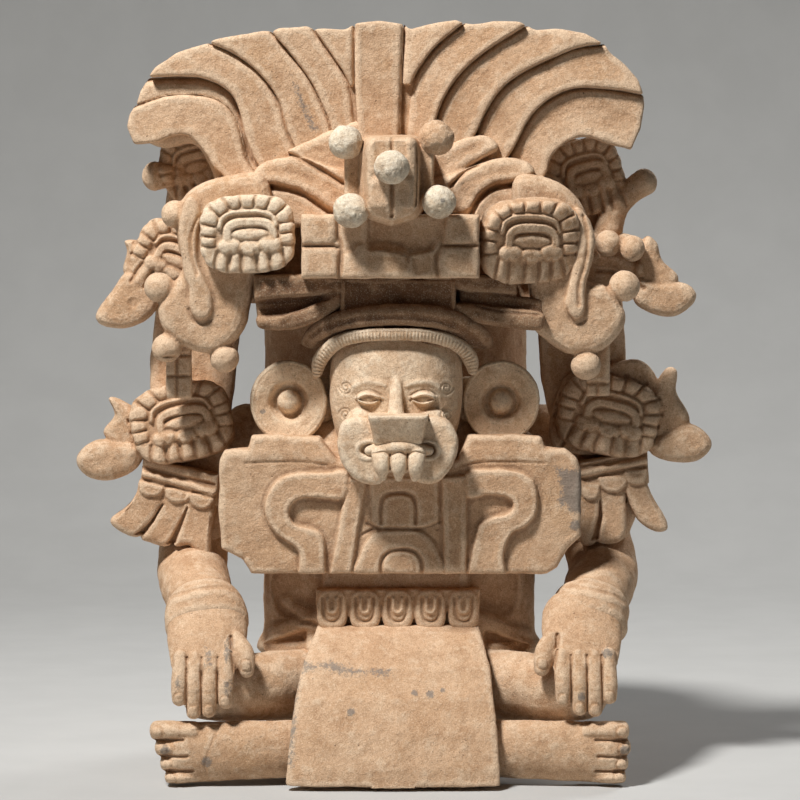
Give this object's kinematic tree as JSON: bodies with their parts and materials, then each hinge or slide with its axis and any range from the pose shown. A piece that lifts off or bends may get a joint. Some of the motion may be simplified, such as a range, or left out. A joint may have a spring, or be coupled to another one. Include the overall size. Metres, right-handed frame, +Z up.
{
  "type": "effigy vase",
  "caption": "Seated figure with a plumed headdress, mouth mask and glyph plaques, modelled in front of a tall cylindrical vessel that is open at the top.",
  "frame": {"origin": "centre of the bounding box on the surface that the vase stands on", "axes": "+Z up, the figure looks along -Y, +X to the viewer's right"},
  "size_m": [0.5972, 0.4564, 0.701],
  "materials": {
    "tan_clay": "matt fired clay, sandy, tan to orange brown with worn edges and grey stains",
    "pale_clay": "matt fired clay with a pale cream crust",
    "vessel_clay": "matt fired clay, smoothed by hand"
  },
  "bodies": {
    "root": {"vessel": "vessel_clay", "torso": "tan_clay", "headdress_back": "tan_clay", "head": "pale_clay", "helmet_cap": "tan_clay", "headband": "pale_clay", "plume_centre": "tan_clay", "plume_left_1": "tan_clay", "plume_left_2": "tan_clay", "plume_left_3": "tan_clay", "plume_left_4": "tan_clay", "plume_left_5": "tan_clay", "plume_left_6": "tan_clay", "plume_right_1": "tan_clay", "plume_right_2": "tan_clay", "plume_right_3": "tan_clay", "plume_right_4": "tan_clay", "plume_right_5": "tan_clay", "headdress_block": "tan_clay", "lappet_left": "tan_clay", "lappet_right": "tan_clay", "crest_muzzle": "tan_clay", "crest_feathers_left": "tan_clay", "crest_feathers_right": "tan_clay", "crest_ball_1": "pale_clay", "crest_ball_2": "pale_clay", "crest_ball_3": "pale_clay", "crest_ball_4": "pale_clay", "crest_ball_5": "pale_clay", "arm_left": "tan_clay", "thigh_left": "tan_clay", "side_panel_left": "tan_clay", "upper_plaque_left": "tan_clay", "middle_plaque_left": "tan_clay", "shoulder_plaque_left": "tan_clay", "tassel_left": "tan_clay", "volute_left": "tan_clay", "headdress_plaque_left": "pale_clay", "foot_left": "tan_clay", "hand_left": "tan_clay", "ear_flare_left": "tan_clay", "arm_right": "tan_clay", "thigh_right": "tan_clay", "side_panel_right": "tan_clay", "upper_plaque_right": "tan_clay", "middle_plaque_right": "tan_clay", "shoulder_plaque_right": "tan_clay", "tassel_right": "tan_clay", "volute_right": "tan_clay", "headdress_plaque_right": "pale_clay", "foot_right": "tan_clay", "hand_right": "tan_clay", "ear_flare_right": "tan_clay", "mask_snout": "pale_clay", "mask_cheek_left": "pale_clay", "mask_cheek_right": "pale_clay", "mask_jaw": "pale_clay", "pectoral": "tan_clay", "belt": "tan_clay", "apron": "tan_clay"}
  },
  "joints": []
}
